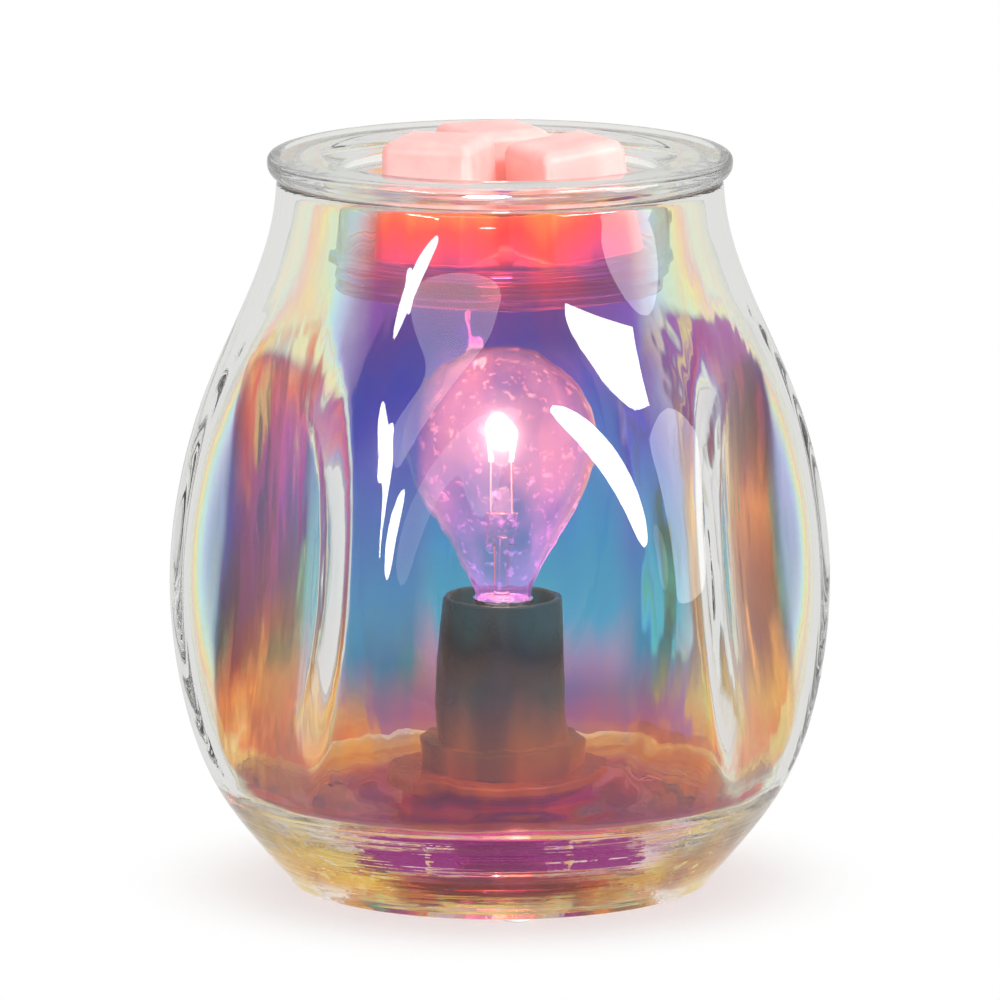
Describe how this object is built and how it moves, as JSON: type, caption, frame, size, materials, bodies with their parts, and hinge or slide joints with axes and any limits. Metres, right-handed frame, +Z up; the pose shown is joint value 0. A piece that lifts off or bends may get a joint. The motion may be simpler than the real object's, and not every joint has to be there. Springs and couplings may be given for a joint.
{
  "type": "wax melt warmer",
  "caption": "Barrel-shaped glass wax warmer with oval thumbprint scoops, a lift-off glass dish holding wax melts, and a screw-in globe bulb in a lampholder inside.",
  "frame": {"origin": "on the table under the body's centre line, at the bottom of the pads", "axes": "+Z up, -Y towards the front shown in the picture, +X to the viewer's right; the cord notch is at +Y"},
  "size_m": [0.1392, 0.1282, 0.1604],
  "materials": {
    "body_glass": "clear glass with an iridescent lustre coat",
    "dish_glass": "clear pressed glass",
    "bulb_glass": "clear thin glass",
    "wax": "soft pink translucent wax",
    "black_phenolic": "satin black moulding",
    "black_enamel": "semi-gloss black enamel",
    "zinc_steel": "zinc plated",
    "brass": "bare brass",
    "cap_metal": "nickel-coloured bulb cap",
    "solder": "dull solder",
    "insulator_glass": "black vitrite",
    "nickel_wire": "drawn nickel wire",
    "filament": "glowing tungsten coil",
    "gasket_rubber": "matte",
    "clear_silicone": "translucent silicone"
  },
  "bodies": {
    "warmer": {"glass_shell": "body_glass", "bumper_pad_1": "clear_silicone", "bumper_pad_2": "clear_silicone", "bumper_pad_3": "clear_silicone", "threaded_stem": "zinc_steel", "hex_nut": "zinc_steel", "lock_washer": "zinc_steel", "upper_gasket": "gasket_rubber", "lower_gasket": "gasket_rubber", "mounting_flange": "black_enamel", "socket_cap": "black_phenolic", "locking_ring": "black_phenolic", "socket_sleeve": "black_phenolic", "socket_core": "black_phenolic", "core_screw_front": "zinc_steel", "core_screw_back": "zinc_steel", "socket_screw_shell": "brass", "centre_contact": "brass", "terminal_screw_left": "brass", "terminal_screw_right": "brass", "base_cup": "black_phenolic", "base_lid": "black_phenolic", "lid_screw_1": "zinc_steel", "lid_screw_2": "zinc_steel", "lid_screw_3": "zinc_steel", "cord_grommet": "gasket_rubber"},
    "dish": {"wax_dish": "dish_glass"},
    "melt_left": {"wax_melt_left": "wax"},
    "melt_right": {"wax_melt_right": "wax"},
    "melt_back": {"wax_melt_back": "wax"},
    "bulb_tip": {"bulb_contact": "solder"},
    "bulb": {"bulb_cap": "cap_metal", "bulb_insulator": "insulator_glass", "bulb_envelope": "bulb_glass", "bulb_mount": "bulb_glass", "bulb_lead_left": "nickel_wire", "bulb_lead_right": "nickel_wire", "bulb_filament": "filament"}
  },
  "joints": [
    {"name": "dish_lift", "type": "slide", "parent": "warmer", "child": "dish", "axis": [0, 0, 1], "range_m": [0, 0.08]},
    {"name": "melt_left_lift", "type": "slide", "parent": "dish", "child": "melt_left", "axis": [0, 0, 1], "range_m": [0, 0.035]},
    {"name": "melt_right_lift", "type": "slide", "parent": "dish", "child": "melt_right", "axis": [0, 0, 1], "range_m": [0, 0.035]},
    {"name": "melt_back_lift", "type": "slide", "parent": "dish", "child": "melt_back", "axis": [0, 0, 1], "range_m": [0, 0.035]},
    {"name": "bulb_rise", "type": "slide", "parent": "warmer", "child": "bulb_tip", "axis": [0, 0, 1], "range_m": [0, 0.0077]},
    {"name": "bulb_turn", "type": "hinge", "parent": "bulb_tip", "child": "bulb", "pos_m": [0, 0, 0.05], "axis": [0, 0, 1], "range_deg": [0, 1080]}
  ],
  "couplings": [
    {"joint": "bulb_rise", "follows": "bulb_turn", "m_per_rad": 0.00040425}
  ]
}
